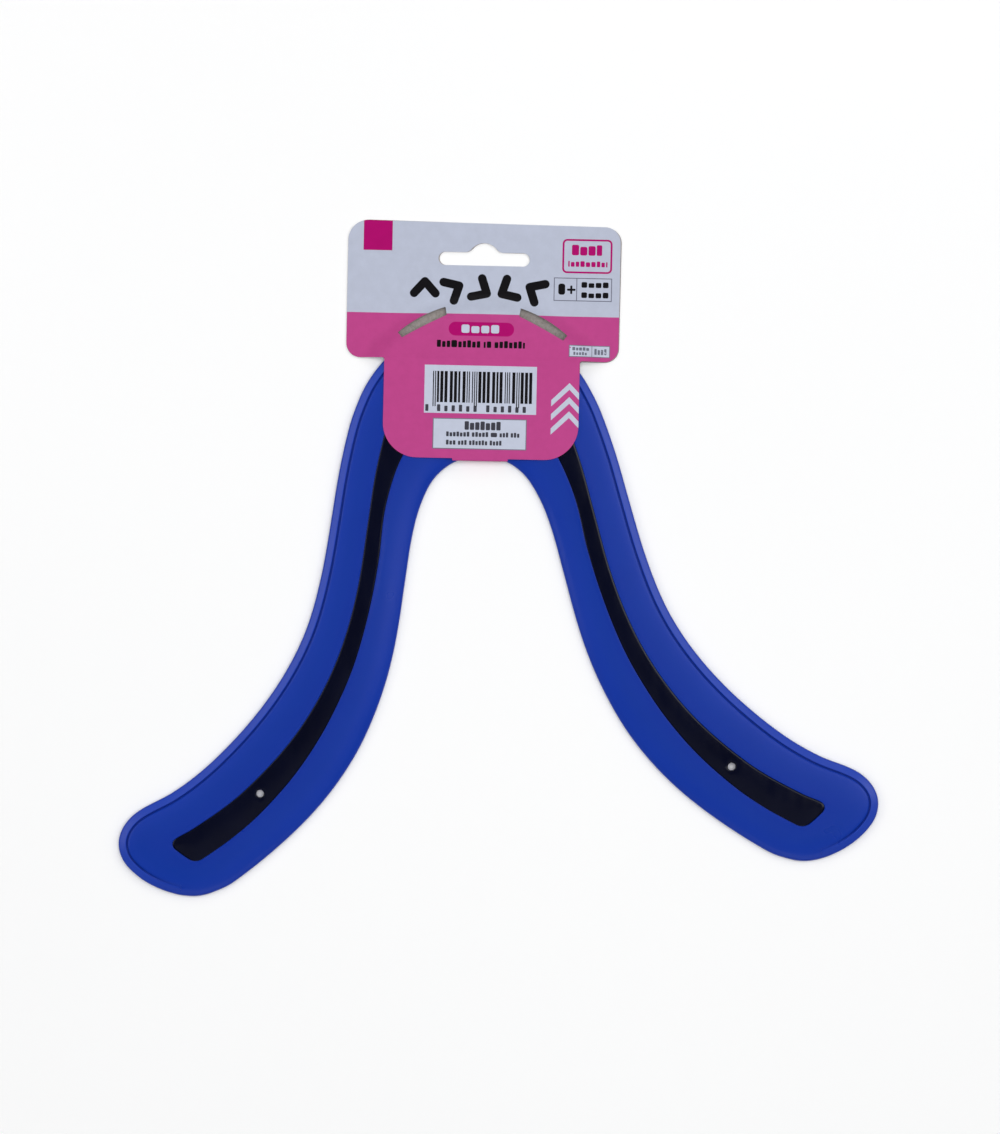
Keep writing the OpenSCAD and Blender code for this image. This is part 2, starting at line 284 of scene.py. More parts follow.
def dense(loop, longest):
    """An outline with its long sides cut into shorter ones."""
    found = []
    for a, b in zip(loop, np.roll(loop, -1, axis=0)):
        n = max(1, math.ceil(np.linalg.norm(b - a) / longest))
        found.append(a + (b - a) * (np.arange(n) / n)[:, None])
    return np.concatenate(found)


def filled(solid, holes=(), clip=None, extra=()):
    """Triangles that fill the union of the solid outlines, less the holes and within clip.
    The points given come back first, in the same order."""
    loops = [*solid, *holes, *([] if clip is None else [clip])]
    points, edges = [], []
    for loop in loops:
        n, start = len(loop), len(points)
        points += [tuple(q) for q in loop]
        edges += [(start + i, start + (i + 1) % n) for i in range(n)]
    points += [tuple(q) for q in extra]
    made = delaunay_2d_cdt([Vector(q) for q in points], edges, [], 0, 1e-4)
    p, tri, origin = np.array([v[:] for v in made[0]]), np.array(made[2]), made[3]
    a, b, c = (p[tri[:, k]] for k in range(3))
    size = (b - a)[:, 0] * (c - a)[:, 1] - (b - a)[:, 1] * (c - a)[:, 0]
    tri = np.where((size < 0)[:, None], tri[:, ::-1], tri)
    middle = p[tri].mean(axis=1)
    keep = np.any([inside(loop, middle) for loop in solid], axis=0) & (np.abs(size) > 1e-7)
    for loop in holes:
        keep &= ~inside(loop, middle)
    if clip is not None:
        keep &= inside(clip, middle)
    tri = tri[keep]
    used = np.unique(tri)
    renumber = np.full(len(p), -1)
    renumber[used] = np.arange(len(used))
    came_from = [min(origin[i]) if origin[i] else -1 for i in used]
    return p[used], renumber[tri], came_from


def rim_edges(tri):
    """The directed edges that only one triangle uses."""
    edges = {(a, b) for t in tri.tolist() for a, b in zip(t, t[1:] + t[:1])}
    return sorted(e for e in edges if e[::-1] not in edges)


def mesh_piece(name, points, faces, materials, indices=None, body="boomerang", sharp=35):
    """A smooth-shaded mesh object, in metres, that rides on a body. points are in the shared frame."""
    mesh = bpy.data.meshes.new(name)
    mesh.from_pydata((np.asarray(points) * MM).tolist(), [], [list(map(int, f)) for f in faces])
    for material in materials:
        mesh.materials.append(material)
    if indices is not None:
        mesh.polygons.foreach_set("material_index", np.asarray(indices, np.int32))
    mesh.polygons.foreach_set("use_smooth", np.ones(len(mesh.polygons), bool))
    mesh.validate()
    mesh.update()
    mesh.set_sharp_from_angle(angle=math.radians(sharp))
    piece = bpy.data.objects.new(name, mesh)
    bpy.context.scene.collection.objects.link(piece)
    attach(piece, body)
    return piece


def by_place(choice, p):
    """A material number for each point, from one number or from a function of the place."""
    return choice(p) if callable(choice) else np.full(len(p), choice)


def slab(name, flat, low, high, materials, top=0, under=0, side=0, tilt=CARD_TILT):
    """A closed thin sheet on the card: the filled outline between two heights, each a function of
    the place. top, under and side say which of the materials is where."""
    p, tri, _ = flat
    n = len(p)
    walls = [(b, a, a + n, b + n) for a, b in rim_edges(tri)]
    points = np.concatenate([np.column_stack([p, low(p)]), np.column_stack([p, high(p)])])
    faces = [*(tri + n).tolist(), *tri[:, ::-1].tolist(), *walls]
    middle = p[tri].mean(axis=1)
    indices = [*by_place(top, middle), *by_place(under, middle), *[side] * len(walls)]
    return mesh_piece(name, in_card(points, tilt), faces, materials, indices, "header_card")


# ---------------------------------------------------------------- materials
def srgb(*rgb):
    """Linear colour from 0-255 sRGB numbers."""
    c = np.array(rgb) / 255
    return (*np.where(c <= 0.04045, c / 12.92, ((c + 0.055) / 1.055) ** 2.4), 1.0)


class Surface:
    """A Principled material with helpers for procedural inputs."""

    def __init__(self, name, **constants):
        self.material = bpy.data.materials.new(name)
        self.material.use_nodes = True
        self.tree = self.material.node_tree
        self.shader = self.tree.nodes["Principled BSDF"]
        for key, value in constants.items():
            self.shader.inputs[key.replace("_", " ")].default_value = value
        self.place = self.node("ShaderNodeTexCoord").outputs["Object"]

    def node(self, kind, **settings):
        made = self.tree.nodes.new(kind)
        for key, value in settings.items():
            setattr(made, key, value)
        return made

    def link(self, source, target):
        self.tree.links.new(source, target)

    def noise(self, size, detail=2, roughness=0.5, stretch=None):
        """Noise whose features are about size millimetres."""
        made = self.node("ShaderNodeTexNoise")
        made.inputs["Scale"].default_value = 1 / (size * MM)
        made.inputs["Detail"].default_value = detail
        made.inputs["Roughness"].default_value = roughness
        place = self.place
        if stretch:
            mapping = self.node("ShaderNodeMapping")
            mapping.inputs["Scale"].default_value = stretch
            self.link(place, mapping.inputs["Vector"])
            place = mapping.outputs["Vector"]
        self.link(place, made.inputs["Vector"])
        return made.outputs["Fac"]

    def ramp(self, source, *stops):
        """A colour ramp through (position, colour) stops."""
        made = self.node("ShaderNodeValToRGB")
        ends = made.color_ramp.elements
        while len(ends) < len(stops):
            ends.new(0.5)
        for end, (at, colour) in zip(ends, stops):
            end.position, end.color = at, colour
        self.link(source, made.inputs["Fac"])
        return made.outputs["Color"]

    def blend(self, factor, a, b, mode="MIX"):
        """Two colours mixed. The factor and both colours may be numbers or node outputs."""
        made = self.node("ShaderNodeMix", data_type="RGBA", blend_type=mode)
        for source, socket in ((factor, made.inputs[0]), (a, made.inputs[6]), (b, made.inputs[7])):
            if isinstance(source, bpy.types.NodeSocket):
                self.link(source, socket)
            else:
                socket.default_value = source
        return made.outputs[2]

    def spread(self, source, low, high):
        """source from about 0.3-0.7 to low-high, as a number."""
        made = self.node("ShaderNodeMapRange")
        for key, value in (("From Min", 0.3), ("From Max", 0.7), ("To Min", low), ("To Max", high)):
            made.inputs[key].default_value = value
        self.link(source, made.inputs["Value"])
        return made.outputs["Result"]

    def colour(self, source):
        self.link(source, self.shader.inputs["Base Color"])

    def rough(self, source):
        self.link(source, self.shader.inputs["Roughness"])

    def bump(self, *layers):
        """Bumps from (height source, depth in millimetres) layers."""
        normal = None
        for source, depth in layers:
            made = self.node("ShaderNodeBump")
            made.inputs["Distance"].default_value = depth * MM
            self.link(source, made.inputs["Height"])
            if normal is not None:
                self.link(normal, made.inputs["Normal"])
            normal = made.outputs["Normal"]
        self.link(normal, self.shader.inputs["Normal"])


def blue_plastic():
    """Moulded plastic with light and shade painted in: a little lighter towards the edges, a painted
    highlight on the rim and painted shade in the groove.
    """
    s = Surface("blue_plastic", Specular_IOR_Level=0.4, IOR=1.46)
    # Painted light: the base colour gets lighter towards the edges.
    where = s.node("ShaderNodeAttribute", attribute_name="painted_edge_light").outputs["Fac"]
    base = s.ramp(where, (0.0, srgb(0, 46, 152)), (0.45, srgb(4, 50, 154)), (1.0, srgb(22, 56, 164)))
    # A painted highlight on the rim and painted shade in the groove.
    for name, colour in (("painted_rim_highlight", srgb(44, 72, 178)), ("painted_groove_shade", srgb(0, 26, 104))):
        share = s.node("ShaderNodeAttribute", attribute_name=name).outputs["Fac"]
        base = s.blend(share, base, colour)
    cloud = s.noise(26, 3, 0.55)
    flow = s.noise(5, 4, 0.6, (1, 1, 0.3))
    tone = s.ramp(s.noise(14, 4), (0.3, (0.86, 0.9, 0.93, 1)), (0.7, (1, 1, 1, 1)))
    s.colour(s.blend(0.55, base, tone, "MULTIPLY"))
    s.rough(s.spread(cloud, 0.27, 0.35))
    s.bump((s.noise(0.35, 2), 0.012), (flow, 0.02))
    return s.material


def polished_core():
    """Hard near-black plastic with a long, faintly uneven polish."""
    s = Surface("polished_core", Specular_IOR_Level=0.5, IOR=1.5)
    s.colour(s.ramp(s.noise(18, 3), (0.3, srgb(1, 3, 24)), (0.7, srgb(3, 6, 29))))
    s.rough(s.spread(s.noise(3, 4, 0.6, (1, 0.25, 1)), 0.1, 0.2))
    s.bump((s.noise(7, 2), 0.01))
    return s.material


def print_ink(name, colour, rough=(0.38, 0.5)):
    """Ink on coated board: faint mottle, fine fibre and a satin varnish."""
    s = Surface(name, Specular_IOR_Level=0.25, IOR=1.4)
    dim = tuple(c * 0.93 for c in colour[:3]) + (1,)
    s.colour(s.ramp(s.noise(3.5, 5, 0.65), (0.3, dim), (0.7, colour)))
    s.rough(s.spread(s.noise(6, 3), *rough))
    s.bump((s.noise(0.5, 3), 0.004), (s.noise(9, 2), 0.02))
    return s.material


def grey_board():
    """The board's bare face: fibrous, with darker flecks."""
    s = Surface("grey_board", Specular_IOR_Level=0.2, IOR=1.4)
    body = s.ramp(s.noise(0.9, 5, 0.7), (0.3, srgb(138, 131, 128)), (0.7, srgb(172, 165, 161)))
    fleck = s.node("ShaderNodeTexVoronoi", feature="F1")
    fleck.inputs["Scale"].default_value = 1 / (1.1 * MM)
    s.link(s.place, fleck.inputs["Vector"])
    spots = s.ramp(fleck.outputs["Distance"], (0.08, (0.55, 0.52, 0.5, 1)), (0.16, (1, 1, 1, 1)))
    s.colour(s.blend(0.5, body, spots, "MULTIPLY"))
    s.rough(s.spread(s.noise(2, 2), 0.8, 0.95))
    s.bump((s.noise(0.25, 4, 0.7), 0.02))
    return s.material


def board_edge():
    """The board's cut edge, in fine layers."""
    s = Surface("board_edge", Specular_IOR_Level=0.2, IOR=1.4)
    layers = s.noise(0.8, 3, 0.6, (1, 1, 9))
    s.colour(s.ramp(layers, (0.3, srgb(150, 145, 146)), (0.7, srgb(205, 202, 206))))
    s.rough(s.spread(layers, 0.75, 0.95))
    s.bump((layers, 0.02))
    return s.material


def tape_film():
    s = Surface("tape_film", Specular_IOR_Level=0.4, IOR=1.45)
    s.colour(s.ramp(s.noise(2, 3), (0.3, srgb(206, 198, 180)), (0.7, srgb(226, 220, 204))))
    s.rough(s.spread(s.noise(1, 3), 0.5, 0.7))
    s.bump((s.noise(0.6, 3), 0.01))
    return s.material


BLUE, CORE_INK = blue_plastic(), polished_core()
GREY_INK = print_ink("print_grey", srgb(187, 193, 211))
PINK_INK = print_ink("print_pink", srgb(190, 70, 138))
MAGENTA_INK = print_ink("print_magenta", srgb(174, 2, 106))
WHITE_INK = print_ink("print_white", srgb(196, 202, 220))
BLACK_INK = print_ink("print_black", srgb(14, 12, 16))
LINE_INK = print_ink("print_line", srgb(112, 114, 130))
DARK_INK = print_ink("print_dark", srgb(62, 62, 72))
BOARD, BOARD_EDGE, TAPE = grey_board(), board_edge(), tape_film()
SHEET_MATERIALS = [GREY_INK, PINK_INK, BOARD, BOARD_EDGE]
ON_GREY, ON_PINK, ON_BOARD, ON_EDGE = range(4)


# ---------------------------------------------------------------- the blade
# Profiles [distance in from the edge, height], from the flat underside over the edge to the crown
OUTER_PROFILE = [
    (0.4, 0), (0.12, 0.1), (0, 0.35), (0, 1.0), (0, 1.5), (0.06, 1.78), (0.22, 1.99), (0.5, 2.16),
    (0.9, 2.34), (1.4, 2.54), (1.9, 2.74), (2.3, 2.9), (2.5, 2.95), (2.66, 2.86), (2.8, 2.62), (2.92, 2.5),
    (3.06, 2.5), (3.2, 2.62), (3.36, 2.92), (3.56, 3.06), (3.9, 3.12), (4.8, 3.19), (5.8, 3.26),
    (7, 3.33), (8.2, 3.39), (9.5, 3.45),
]
INNER_PROFILE = [
    (0.4, 0), (0.12, 0.1), (0, 0.3), (0, 0.7), (0, 1.0), (0.06, 1.22), (0.22, 1.45), (0.5, 1.7),
    (0.9, 1.93), (1.3, 2.11), (1.7, 2.27), (2.1, 2.41), (2.4, 2.49), (2.6, 2.54), (2.76, 2.58), (2.92, 2.62),
    (3.1, 2.66), (3.3, 2.7), (3.55, 2.75), (3.9, 2.83), (4.4, 2.92), (5.1, 3.04), (5.9, 3.15),
    (7, 3.27), (8.2, 3.37), (9.5, 3.45),
]
# How far in from the edge the painted lightening fades, and how strong the painted rim highlight and painted
# groove shade are.
LIGHT_RUN = 14
RIM_HIGHLIGHT_SHARE, GROOVE_SHADE_SHARE = 0.75, 0.7


def pin_circle(side, r=PIN_R, n=40):
    """The outline of one of the two through holes."""
    return arc((side * PIN_X, -PIN_BACK), r, 0, 360, n)[:-1]


class Shell:
    """A closed mesh put together from rings and caps."""

    def __init__(self):
        self.points, self.faces, self.count = [], [], 0

    def ring(self, xy, z):
        """Adds points at one height, or each at its own, and returns their numbers."""
        z = np.broadcast_to(z, len(xy))
        self.points.append(np.column_stack([xy, z]))
        self.count += len(xy)
        return np.arange(self.count - len(xy), self.count)

    def skin(self, low, high):
        """Faces between two rings of a clockwise outline, the lower or outer one first."""
        for i in range(len(low)):
            j = (i + 1) % len(low)
            self.faces.append((low[i], high[i], high[j], low[j]))

    def cap(self, rings, up, z=None, extra=()):
        """Fills the first ring, less the others, in its own plane. z gives the height of extra points."""
        points = np.concatenate(self.points)
        loops = [points[r, :2] for r in rings]
        p, tri, came = filled(loops[:1], loops[1:], extra=extra)
        known = np.concatenate(rings)
        fresh = [i for i, c in enumerate(came) if not 0 <= c < len(known)]
        index = np.array([known[c] if 0 <= c < len(known) else -1 for c in came])
        if fresh:
            index[fresh] = self.ring(p[fresh], z(p[fresh]))
        self.faces += [tuple(f) for f in (index[tri] if up else index[tri][:, ::-1])]


def blade_body():
    """The blade, from its flat back over the rim and groove to the crown, with the strip's recess.
    Its three point values paint light and shade into its colour: a painted lightening near the edge, a
    painted highlight on the rim and painted shade in the groove."""
    shell, into, rim = Shell(), inward(EDGE), rim_weight()[:, None]
    outer, inner = np.array(OUTER_PROFILE), np.array(INNER_PROFILE)
    rings, painted_edge_light = [], []
    for a, b in zip(inner, outer):
        at = a + rim * (b - a)
        rings.append(shell.ring(EDGE + at[:, :1] * into, BLADE_Z + at[:, 1]))
        painted_edge_light.append(1 - float(b[0]) / LIGHT_RUN)
    last = EDGE + outer[-1, 0] * into
    crown = BLADE_Z + outer[-1, 1]
    lip = CORE - 0.3 * inward(CORE)
    for share in (0.35, 0.7):
        z = crown + (BLADE_TOP - crown) * share
        rings.append(shell.ring(last + share * (lip - last), z))
        painted_edge_light.append((1 - share) * painted_edge_light[len(outer) - 1])
    for out, down in ((0.3, 0.0), (0.1, 0.02), (0.02, 0.09), (0, 0.2)):
        rings.append(shell.ring(CORE - out * inward(CORE), BLADE_TOP - down))
        painted_edge_light.append(0)
    floor = shell.ring(CORE, CORE_Z)
    rings.append(floor)
    painted_edge_light.append(0)
    for low, high in zip(rings, rings[1:]):
        shell.skin(low, high)
    bores = [[shell.ring(pin_circle(side)[::-1], z) for side in (-1, 1)] for z in (BLADE_Z, CORE_Z)]
    painted_edge_light += [painted_edge_light[0]] * 2 + [0] * 2
    shell.cap([floor, *bores[1]], True)
    shell.cap([rings[0], *bores[0]], False)
    for low, high in zip(*bores):
        shell.skin(high, low)
    piece = mesh_piece(
        "blade_body", in_blade(np.concatenate(shell.points)), shell.faces, [BLUE], sharp=50
    )
    amount, blank = rim[:, 0], np.zeros(len(EDGE))
    # Where the painted highlight on the rim goes.
    band = [RIM_HIGHLIGHT_SHARE * amount if 0.3 < d <= 2.55 and z > 2 else blank for d, z in outer]
    # Where the painted shade in the groove goes.
    line = [GROOVE_SHADE_SHARE * amount if 2.7 < d < 3.3 else blank for d, z in outer]
    rest = [np.zeros(len(p)) for p in shell.points[len(outer):]]
    for name, values in (
        ("painted_edge_light", [np.full(len(p), v) for p, v in zip(shell.points, painted_edge_light)]),
        ("painted_rim_highlight", band + rest),
        ("painted_groove_shade", line + rest),
    ):
        field = piece.data.attributes.new(name, "FLOAT", "POINT")
        field.data.foreach_set("value", np.concatenate(values).astype(np.float32))
    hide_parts("blade")


def core_insert():
    """The hard strip: rounded along its top edge and slightly crowned."""
    shell, into = Shell(), inward(CORE)
    bottom, top = CORE_Z, CORE_TOP - 0.02
    crown_start, crown_run, crown_rise = 2.3, 4.2, 0.075
    profile = [
        (0.15, bottom), (0.03, bottom + 0.1), (0.03, top - 0.42), (0.06, top - 0.3), (0.16, top - 0.22),
        (0.36, top - 0.17), (0.8, top - 0.145), (1.5, top - 0.11), (crown_start, top - crown_rise),
    ]
    rings = [shell.ring(CORE + inset * into, z) for inset, z in profile]
    for low, high in zip(rings, rings[1:]):
        shell.skin(low, high)

    def from_edge(p):
        return np.linalg.norm(p[:, None] - CORE[None, ::2], axis=2).min(axis=1)

    def from_pin(p):
        return np.min([np.linalg.norm(p - (side * PIN_X, -PIN_BACK), axis=1) for side in (-1, 1)], axis=0)

    def crown(p):
        share = np.clip((from_edge(p) - crown_start) / crown_run, 0, 1)
        return top - crown_rise * (1 - share) ** 2

    row_gap, gap = 1.3, 1.5
    grid = np.array([
        (x, y) for k, y in enumerate(np.arange(-114, 56, row_gap))
        for x in np.arange(-115 + gap / 2 * (k % 2), 115, gap)
    ])
    grid = grid[inside(CORE, grid)]
    grid = grid[(from_edge(grid) > 3.0) & (from_pin(grid) > 2.1)]
    bores = []
    for grow, z in ((0, bottom), (0, top - 0.2), (0.08, top - 0.09), (0.25, None)):
        loops = [pin_circle(side, PIN_R + grow)[::-1] for side in (-1, 1)]
        bores.append([shell.ring(loop, crown(loop) if z is None else z) for loop in loops])
    shell.cap([rings[-1], *bores[-1]], True, crown, grid)
    shell.cap([rings[0], *bores[0]], False)
    for lower, upper in zip(bores, bores[1:]):
        for low, high in zip(lower, upper):
            shell.skin(high, low)
    piece = mesh_piece(
        "core_insert", in_blade(np.concatenate(shell.points)), shell.faces, [CORE_INK], sharp=50
    )
    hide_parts("core_strip")


def tube_faces(stations, n):
    """Faces round a run of sections with n points each, and its two ends."""
    around = [
        (k * n + i, k * n + (i + 1) % n, (k + 1) * n + (i + 1) % n, (k + 1) * n + i)
        for k in range(stations - 1) for i in range(n)
    ]
    return around, [tuple(range(n))[::-1], tuple(range((stations - 1) * n, stations * n))]


def mould_tick(name, x):
    """A short rib across the edge, left by the mould at the tip."""
    half, deep, points = 0.2, 0.6, []
    rows = [(-126.1, 1.7), (-125.4, 2.2), (-124.6, 2.6), (-123.8, 2.86), (-123.2, 2.8)]
    for y, top in rows:
        across = x + np.array([-half, -half / 2, half / 2, half])
        height = BLADE_Z + np.array([top - deep, top, top, top - deep])
        points.append(np.column_stack([across, np.full(4, y), height]))
    around, ends = tube_faces(len(rows), 4)
    mesh_piece(name, in_blade(np.concatenate(points)), around + ends, [BLUE])


blade_body()
core_insert()
mould_tick("mould_tick_left", -112.3)
mould_tick("mould_tick_right", 112.3)


# ---------------------------------------------------------------- the card
SHEET_STEP, PRINT_STEP = 1.6, 1.4
CARD_EDGE = dense(CARD, SHEET_STEP)
PRINT_LAYERS = ((-0.015, 0.02), (0.008, 0.04))


def level(z):
    """The same height everywhere."""
    return lambda p: np.full(len(p), z)


def above(offset):
    """Height over the front ply's printed face."""
    return lambda p: drape(p) + PLY - INK + offset


def two_inks(p):
    """Pink below the ink line and grey-blue above it."""
    return np.where(p[:, 1] < INK_UP, ON_PINK, ON_GREY)


def split_sheet(holes, extra):
    """The card's outline with the ink line among its edges, so that each triangle has one ink."""
    beside, over = 60.0, 110.0
    parts = [
        np.array([(-beside, low), (beside, low), (beside, high), (-beside, high)])
        for low, high in ((0.0, INK_UP), (INK_UP, over))
    ]
    return filled([dense(part, SHEET_STEP) for part in parts], holes, clip=CARD_EDGE, extra=extra)


card_front = slab(
    "card_front_sheet", split_sheet([SLOT, *WINDOWS], RAMP), drape, above(0), SHEET_MATERIALS,
    top=two_inks, under=ON_BOARD, side=ON_EDGE,
)
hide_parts("card_front")

card_back = slab(
    "card_back_sheet", split_sheet([SLOT], ()), level(BACK_Z), level(BACK_TOP), SHEET_MATERIALS,
    top=ON_BOARD, under=two_inks, side=ON_EDGE, tilt=CARD_TILT + REAR_TURN,
)
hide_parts("card_back")


def fold_band():
    """The strip that bends from the front ply down through the crook and on to the rear ply."""
    top, bend = CARD_TOP - INK, 0.45
    upper, lower = (FOLD_LOW + bend, top - bend), (FOLD_LOW + bend, BACK_Z + bend)
    section = np.concatenate([
        [(BEND_Y, top)], arc(upper, bend, 90, 180, 8), arc(lower, bend, 180, 270, 8), [(BEND_Y, BACK_Z)],
        [(BEND_Y, BACK_TOP)], arc(lower, bend - PLY, 270, 180, 3), arc(upper, bend - PLY, 180, 90, 3),
        [(BEND_Y, SHELF_Z)],
    ])
    n = len(section)
    stations = np.linspace(-CARD_SHIFT - FOLD_HALF, -CARD_SHIFT + FOLD_HALF, 9)
    points = np.concatenate([np.column_stack([np.full(n, x), section]) for x in stations])
    around, ends = tube_faces(len(stations), n)
    piece = mesh_piece(
        "card_fold_band", in_card(points), around + ends, [PINK_INK, BOARD_EDGE],
        [0] * len(around) + [1] * len(ends), "header_card",
    )
    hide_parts("card_fold")


fold_band()


# ---------------------------------------------------------------- the card's print
def box(x0, y0, x1, y1, r=0.0):
    """An upright rectangle, with round corners where r isn't 0."""
    if r == 0:
        return np.array([(x0, y0), (x1, y0), (x1, y1), (x0, y1)], float)
    return rounded([(x0, y0, r), (x1, y0, r), (x1, y1, r), (x0, y1, r)])


def bar(p, q, width):
    """A straight bar with round ends."""
    a = math.degrees(math.atan2(q[1] - p[1], q[0] - p[0]))
    return np.concatenate([arc(p, width / 2, a + 90, a + 270, 8), arc(q, width / 2, a - 90, a + 90, 8)])


def words(x, y, height, widths, gap=0.45, space=1.1):
    """Small blocks in a row that stand for a line of print, where a width of 0 is a word space."""
    found = []
    for k, width in enumerate(widths):
        if width == 0:
            x += space - gap
            continue
        tall = height * (1, 0.82, 0.9)[k % 3]
        found.append(box(x, y, x + width, y + tall, 0.24 * min(width, tall)))
        x += width + gap
    return found


def printed(name, shapes, ink, layer=0, holes=(), clip=None):
    """A film of ink over the front ply: layer 1 lies on layer 0."""
    loops = [dense(s, PRINT_STEP) for s in shapes]
    least, most = np.concatenate(loops).min(axis=0), np.concatenate(loops).max(axis=0)
    near = RAMP[((RAMP > least) & (RAMP < most)).all(axis=1)]
    flat = filled(loops, [dense(h, PRINT_STEP) for h in holes], clip, near)
    low, high = PRINT_LAYERS[layer]
    slab(name, flat, above(low), above(high), [ink])


def frame_lines(x0, y0, x1, y1, width, r=0.0):
    """A box's outline as a shape and its hole."""
    return box(x0, y0, x1, y1, r), box(x0 + width, y0 + width, x1 - width, y1 - width, max(0, r - width))


def title_marks():
    """Five turning boomerangs in place of a title."""
    pitch, from_middle, arm, thick, spread = 9.75, 2.6, 5.6, 3.0, math.radians(42)
    found = []
    for k, turn in enumerate((90, 30, -30, 210, 150)):
        middle = np.array([-20.6 + pitch * k, 79.2])
        lean = math.radians(turn)
        tip = middle + from_middle * np.array([math.cos(lean), math.sin(lean)])
        for side in (-1, 1):
            a = lean + math.pi + side * spread
            found.append(bar(tip, tip + arm * np.array([math.cos(a), math.sin(a)]), thick))
    return found


def bar_pattern():
    """Bars and longer guard bars. Their widths follow a formula and carry no number."""
    module, foot, guard_foot, head = 0.37, 39.4, 37.9, 50.3
    x, k, found = -17.0, 0, []
    while x < 17.9:
        guard = k in (0, 1, 12, 13, 24, 25) or x > 17.0
        wide = 1 if guard else min(1 + (7 * k * k + 3 * k) % 11 % 4, 3)
        gap = 1 if guard else 1 + (5 * k + 2) % 3 % 2
        found.append(box(x, guard_foot if guard else foot, x + wide * module * 0.95, head))
        x += (wide + gap) * module
        k += 1
    return found


# Plain colour square in the header's corner
printed("print_square", [box(-42.4, 92.4, -32.3, 106)], MAGENTA_INK, clip=dense(CARD, PRINT_STEP))

printed("print_title", title_marks(), BLACK_INK)

# Price box
shape, hole = frame_lines(27.4, 85.7, 44.9, 97.7, 0.65, 1.7)
printed("print_price_frame", [shape], MAGENTA_INK, holes=[hole])
printed("print_price", [
    *words(30.7, 92.0, 3.7, [2.5, 2.5, 2.5, 1.9], 0.4),
    *words(29.5, 88.0, 2.0, [0.5, 1.3, 1.2, 1.5, 1.5, 1.5, 1.2, 1.2, 0.5], 0.42),
], MAGENTA_INK)

# Age box
shape, hole = frame_lines(24.6, 75.9, 45.0, 84.1, 0.3)
printed("print_age_frame", [shape, box(32.5, 76, 32.8, 84)], LINE_INK,
        holes=[box(24.9, 76.2, 32.5, 83.8), box(32.8, 76.2, 44.7, 83.8)])
printed("print_age", [
    box(26.2, 78.1, 28.6, 82.0, 0.9),
    bar((29.6, 79.9), (31.9, 79.9), 0.75), bar((30.75, 78.75), (30.75, 81.05), 0.75),
    *words(34.3, 80.7, 2.0, [2] * 4, 0.5), *words(34.3, 77.1, 2.0, [2] * 4, 0.5),
], BLACK_INK)

# Pill and the line under it
printed("print_pill", [box(-11.9, 62.8, 11, 67.6, 2.38)], MAGENTA_INK)
printed("print_pill_marks", words(-7.4, 63.8, 2.9, [2.8] * 4, 0.65), WHITE_INK, 1)
printed("print_line_text", words(-15.9, 58.7, 2.5, [
    1.4, 1.2, 1.2, 2, 1.2, 1.1, 1.3, 1.2, 1.2, 0, 0.7, 1.5, 0, 1.3, 1.2, 1.3, 1.2, 1.2, 1.2, 0.7,
], 0.42, 1.2), BLACK_INK)

# Number box
shape, hole = frame_lines(30.3, 56.2, 44.75, 60.4, 0.25)
printed("print_number_panel", [shape], WHITE_INK)
printed("print_number", [shape, box(38.3, 56.3, 38.5, 60.3)], LINE_INK, 1,
        [box(30.55, 56.45, 38.3, 60.15), box(38.5, 56.45, 44.5, 60.15)])
printed("print_number_marks", [
    *words(31.5, 58.5, 1.2, [1, 0.8, 1, 0.9, 1], 0.3), *words(31.9, 56.9, 1.1, [0.7] * 5, 0.3),
    *words(39.3, 57.2, 2.1, [0.8] * 4, 0.35),
], LINE_INK, 1)

# Bar pattern and the row of blocks under it
printed("print_bars_panel", [box(-19.95, 35.6, 19.3, 52.4)], WHITE_INK)
printed("print_bars", bar_pattern(), BLACK_INK, 1)
printed("print_bars_marks", [
    *words(-19.5, 36.2, 2.4, [1.1]),
    *words(-15.4, 36.2, 2.4, [1.15] * 6, 1.4), *words(1.8, 36.2, 2.4, [1.15] * 6, 1.4),
], DARK_INK, 1)

# Notice box
shape, hole = frame_lines(-16.75, 23.1, 16.1, 33.9, 0.3)
printed("print_notice_panel", [shape], WHITE_INK)
printed("print_notice_frame", [shape], LINE_INK, 1, [hole])
printed("print_notice", [
    *words(-5.6, 29.9, 3.0, [1.5] * 7, 0.35),
    *words(-12.0, 27.5, 1.7,
           [0.9] * 7 + [0] + [0.9] * 5 + [0, 2.2, 0] + [0.8] * 3 + [0] + [0.8] * 3, 0.3, 0.9),
    *words(-12.0, 24.6, 1.7,
           [0.9] * 3 + [0] + [0.8] * 3 + [0] + [0.8] * 6 + [0] + [0.8] * 4, 0.3, 0.9),
], DARK_INK, 1)

# Chevrons that run off the flap's side
chevron = np.array([(24.5, -6.1), (30.8, 0), (36.5, -5.9), (36.5, -8.2), (30.8, -2.35), (24.5, -8.3)])
chevrons = [chevron + (0, up) for up in (47.0, 42.1, 37.1)]
printed("print_chevrons", chevrons, WHITE_INK, clip=dense(CARD, PRINT_STEP))


# ---------------------------------------------------------------- carried-over CAD nodes
for name in ("tape_left", "tape_right"):
    pad = frame["nodes"][name]
    pad.data.materials.clear()
    pad.data.materials.append(TAPE)


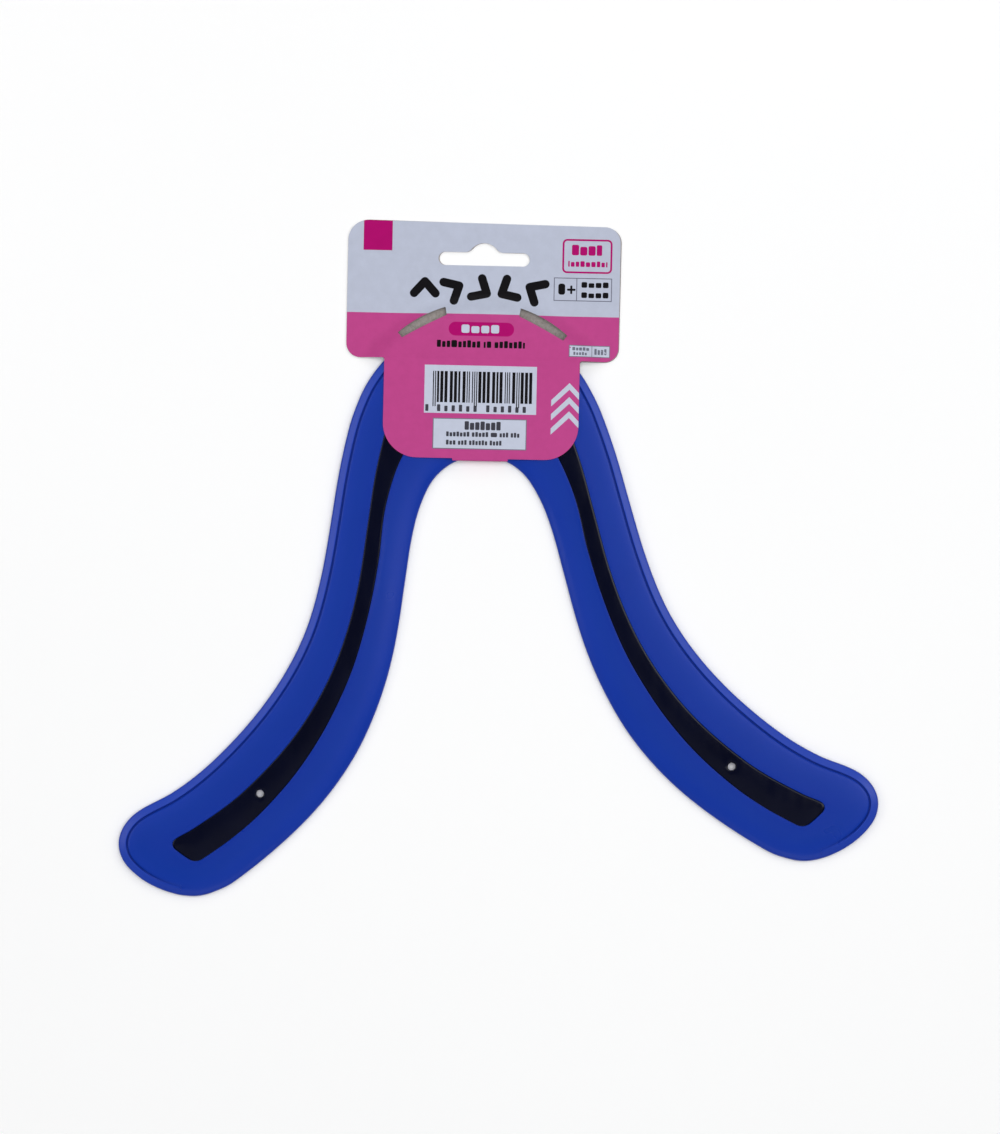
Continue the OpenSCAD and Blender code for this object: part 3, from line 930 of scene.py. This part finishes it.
# ---------------------------------------------------------------- floor, light and camera
def pale_floor():
    """A matt, near-white floor, in metres, that runs well past the view."""
    mesh, reach = bpy.data.meshes.new("floor"), 4
    corners = [(-reach, -reach, 0), (reach, -reach, 0), (reach, reach, 0), (-reach, reach, 0)]
    mesh.from_pydata(corners, [], [(0, 1, 2, 3)])
    floor = bpy.data.objects.new("floor", mesh)
    bpy.context.scene.collection.objects.link(floor)
    s = Surface("floor_white", Specular_IOR_Level=0.1)
    s.colour(s.ramp(s.noise(400, 2), (0.3, (0.98, 0.98, 0.98, 1)), (0.7, (0.995, 0.995, 0.995, 1))))
    s.shader.inputs["Roughness"].default_value = 0.9
    mesh.materials.append(s.material)


def softbox(name, place, width, height, power, seen_in_gloss=True):
    """An area light that faces the object, in metres and watts."""
    data = bpy.data.lights.new(name, "AREA")
    data.shape, data.size, data.size_y = "RECTANGLE", width, height
    data.energy = power
    lamp = bpy.data.objects.new(name, data)
    lamp.location = place
    lamp.rotation_mode = "QUATERNION"
    lamp.rotation_quaternion = (-Vector(place)).to_track_quat("-Z", "Y")
    lamp.visible_glossy = seen_in_gloss
    bpy.context.scene.collection.objects.link(lamp)


def studio():
    """A dim, cool surround, one big light overhead, and panels that the gloss reflects."""
    world = bpy.data.worlds.new("studio")
    world.use_nodes = True
    background = world.node_tree.nodes["Background"]
    background.inputs["Color"].default_value = (0.93, 0.96, 1.0, 1)
    background.inputs["Strength"].default_value = 0.06
    bpy.context.scene.world = world
    softbox("overhead", (0.1, 0.1, 2.2), 1.5, 1.5, 32, seen_in_gloss=False)
    softbox("sheen", (1.1, 0.3, 1.8), 0.9, 1.5, 4.6)
    softbox("near_panel", (0.0, -0.68, 2.2), 1.4, 0.9, 0.35)
    softbox("side_right", (1.3, 0.3, 1.15), 0.8, 0.9, 3.0)
    softbox("side_left", (-1.2, 0.3, 1.2), 1.1, 0.9, 5.0)
    softbox("back", (0.2, 1.35, 1.15), 1.3, 0.8, 4.2)
    softbox("front", (0.0, -1.4, 1.1), 1.3, 0.8, 2.2)


def camera():
    """Straight above the object, turned a little, at the photograph's framing."""
    data = bpy.data.cameras.new("camera")
    up, field, subject_z = 1.5, 0.3969, 0.004
    data.sensor_width = 36
    data.lens = data.sensor_width * (up - subject_z) / field
    eye = bpy.data.objects.new("camera", data)
    eye.location = (0.0057, -0.00758, up)
    eye.rotation_euler = (0, 0, math.radians(-3.283))
    bpy.context.scene.collection.objects.link(eye)
    bpy.context.scene.camera = eye


pale_floor()
studio()
camera()
bpy.context.scene.view_settings.view_transform = "Standard"
